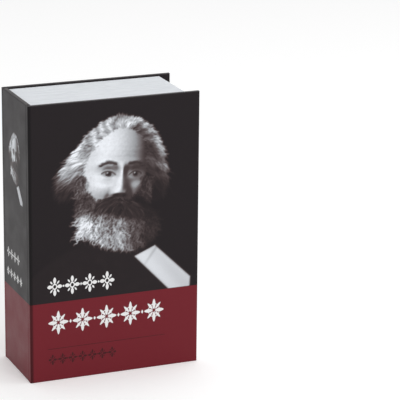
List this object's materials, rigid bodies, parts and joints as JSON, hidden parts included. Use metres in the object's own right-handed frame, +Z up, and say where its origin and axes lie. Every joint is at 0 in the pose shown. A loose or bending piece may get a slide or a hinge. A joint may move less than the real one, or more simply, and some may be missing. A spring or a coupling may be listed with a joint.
{
  "type": "book diversion safe",
  "caption": "Hard-cover book that hides a steel cash box: cover and page block around a box with a hinged, key-locked lid.",
  "frame": {"origin": "middle of the tail edge that the book stands on", "axes": "+Z up along the spine from tail to head, +X from the spine to the fore edge, +Y from the front cover to the back cover"},
  "size_m": [0.113, 0.053, 0.18],
  "materials": {
    "cover_board": "matte",
    "printed_wrap": "satin",
    "lining_paper": "matte",
    "page_plastic": "matte",
    "foam_tape": "matte",
    "black_steel": "satin",
    "zinc_steel": "satin",
    "lock_chrome": "polished",
    "lock_brass": "satin",
    "spring_wire": "satin"
  },
  "bodies": {
    "book": {"back_board": "cover_board", "back_wrap": "printed_wrap", "spine_board": "cover_board", "spine_wrap": "printed_wrap", "page_block": "page_plastic", "spine_side_tape": "foam_tape", "fore_side_tape": "foam_tape", "steel_box": "black_steel", "catch_rail": "black_steel", "hinge_pin": "zinc_steel"},
    "front_cover": {"front_board": "cover_board", "front_wrap": "printed_wrap", "front_pastedown": "lining_paper"},
    "lid": {"lid_panel": "black_steel", "lock_housing": "lock_chrome", "lock_washer": "zinc_steel", "lock_nut": "zinc_steel"},
    "lock": {"lock_plug": "lock_brass", "stop_washer": "zinc_steel", "lock_cam": "zinc_steel", "cam_washer": "zinc_steel", "cam_screw": "zinc_steel", "wafer_1": "lock_brass", "wafer_2": "lock_brass", "wafer_3": "lock_brass", "wafer_4": "lock_brass", "wafer_spring_1": "spring_wire", "wafer_spring_2": "spring_wire", "wafer_spring_3": "spring_wire", "wafer_spring_4": "spring_wire"}
  },
  "joints": [
    {"name": "cover_hinge", "type": "hinge", "parent": "book", "child": "front_cover", "pos_m": [-0.0567, -0.0227, 0.09], "axis": [0, 0, -1], "range_deg": [0, 176]},
    {"name": "lid_hinge", "type": "hinge", "parent": "book", "child": "lid", "pos_m": [-0.0445, -0.0204, 0.09], "axis": [0, 0, -1], "range_deg": [0, 110]},
    {"name": "lock_turn", "type": "hinge", "parent": "lid", "child": "lock", "pos_m": [0.01695, -0.0134, 0.09], "axis": [0, 1, 0], "range_deg": [0, 90]}
  ],
  "couplings": [
    {"joint": "lid_hinge", "follows": "cover_hinge", "ratio": 0.625}
  ]
}
